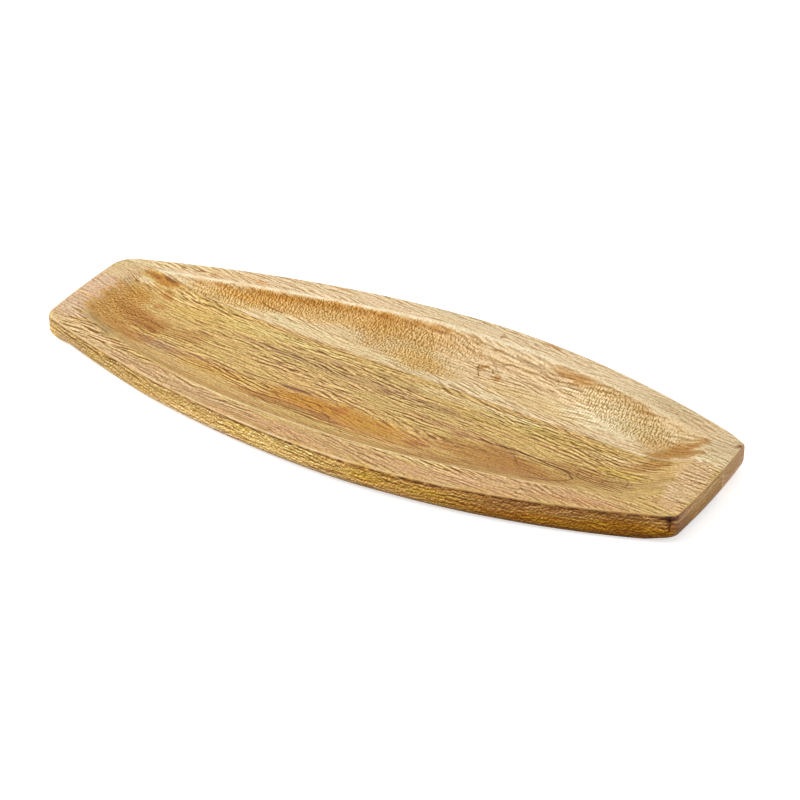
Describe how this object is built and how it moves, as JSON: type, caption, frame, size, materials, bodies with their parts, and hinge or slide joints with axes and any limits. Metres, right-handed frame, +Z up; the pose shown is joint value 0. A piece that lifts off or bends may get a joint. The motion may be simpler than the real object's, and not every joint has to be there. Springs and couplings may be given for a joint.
{
  "type": "wooden serving platter",
  "caption": "Long boat-shaped wooden platter with blunt ends, a shallow dished hollow and a flat rim, glued up from boards edge to edge.",
  "frame": {"origin": "centre of the length and of the width, on the flat underside that rests on the table", "axes": "+X along the platter towards the end nearer to the camera, +Y across it towards the side away from the camera, +Z up out of the hollow"},
  "size_m": [0.452, 0.182, 0.02],
  "materials": {
    "pale_board": "sanded and oiled hardwood, pale sapwood with cross figure, satin",
    "brown_board": "sanded and oiled hardwood, golden brown with dark dashes and flame figure, satin",
    "glue": "cured wood glue with sanding dust in it, a hairline"
  },
  "bodies": {
    "root": {"far_board": "pale_board", "near_board": "brown_board", "glue_line": "glue"}
  },
  "joints": []
}
